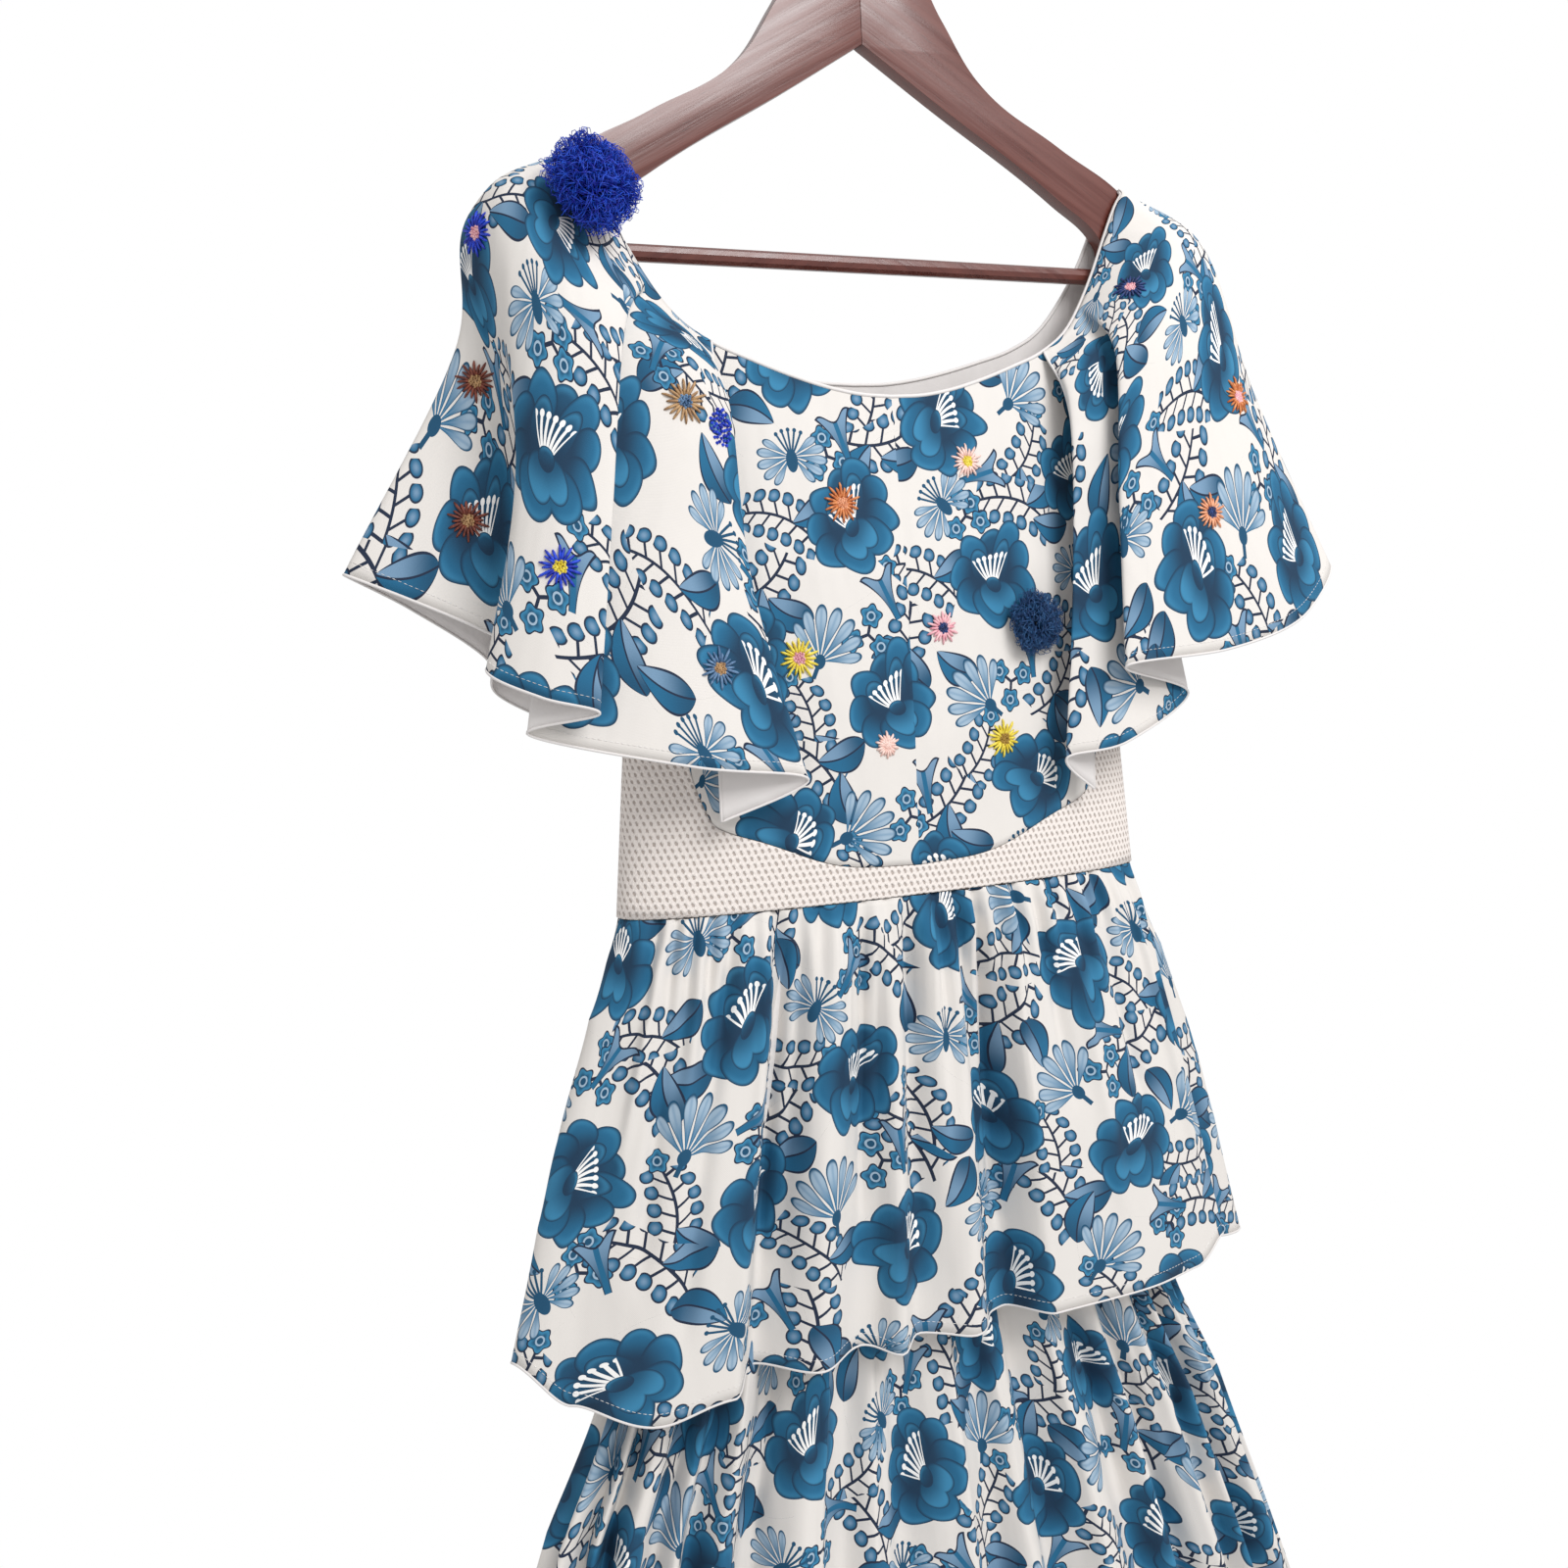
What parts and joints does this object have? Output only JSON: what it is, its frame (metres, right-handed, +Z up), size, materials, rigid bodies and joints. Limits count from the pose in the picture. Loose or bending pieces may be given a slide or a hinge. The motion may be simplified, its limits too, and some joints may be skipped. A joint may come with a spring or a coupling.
{
  "type": "tiered midi dress on a wooden hanger",
  "caption": "Tiered floral cotton midi dress with shoulder flounces, a crochet waist and thread pompoms, hung flat on a varnished wooden hanger by its steel hook.",
  "frame": {"origin": "inside top of the hanger's hook, where a rail holds it", "axes": "+Z up, +X to the viewer's right across the dress, -Y out of its front"},
  "size_m": [0.7045, 0.163, 1.3535],
  "materials": {
    "printed_cotton": "matt white cotton with a blue floral print, plain white on the wrong side",
    "cotton_crochet": "cream cotton crochet, matt",
    "royal_blue_thread": "frizzy royal blue thread",
    "denim_blue_thread": "soft denim blue thread",
    "varnished_wood": "dark red-brown stained wood, satin varnish",
    "polished_steel": "bright plated steel wire"
  },
  "bodies": {
    "root": {"bodice_front": "printed_cotton", "bodice_back": "printed_cotton", "crochet_yoke": "cotton_crochet", "flounce_left": "printed_cotton", "flounce_right": "printed_cotton", "skirt_upper_tier": "printed_cotton", "skirt_lower_tier": "printed_cotton", "underskirt": "printed_cotton", "pompom_left": "royal_blue_thread", "tuft_right": "denim_blue_thread", "hanger_arm_left": "varnished_wood", "hanger_arm_right": "varnished_wood", "hanger_bar": "varnished_wood", "hanger_hook": "polished_steel"}
  },
  "joints": []
}
